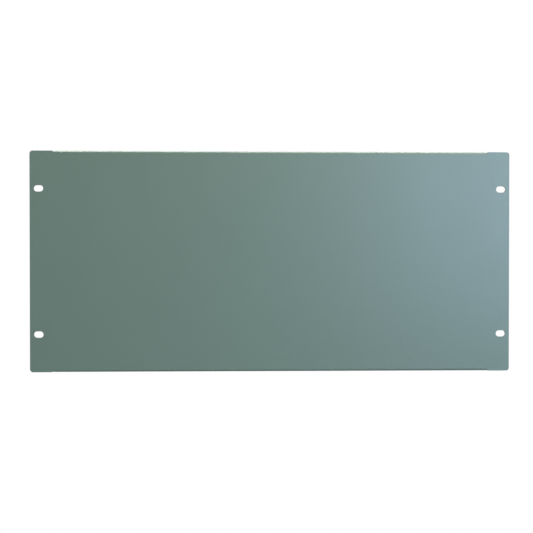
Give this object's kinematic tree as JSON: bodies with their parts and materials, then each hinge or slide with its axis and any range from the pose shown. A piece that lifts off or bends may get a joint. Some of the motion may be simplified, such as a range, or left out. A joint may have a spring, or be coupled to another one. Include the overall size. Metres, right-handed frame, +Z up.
{
  "type": "rack blanking panel",
  "caption": "Flat steel blanking panel for a 19 inch equipment rack, with folded top and bottom flanges and slotted screw ears.",
  "frame": {"origin": "middle of the slot pattern, on the back of the face, which is the plane that seats on the rack rails", "axes": "+X to the right and +Z up as seen from the front, +Y into the rack"},
  "size_m": [0.4826, 0.016, 0.2214],
  "materials": {
    "powder_coat": "smooth semi-gloss grey-green powder coat over steel"
  },
  "bodies": {
    "root": {"blanking_panel": "powder_coat"}
  },
  "joints": []
}
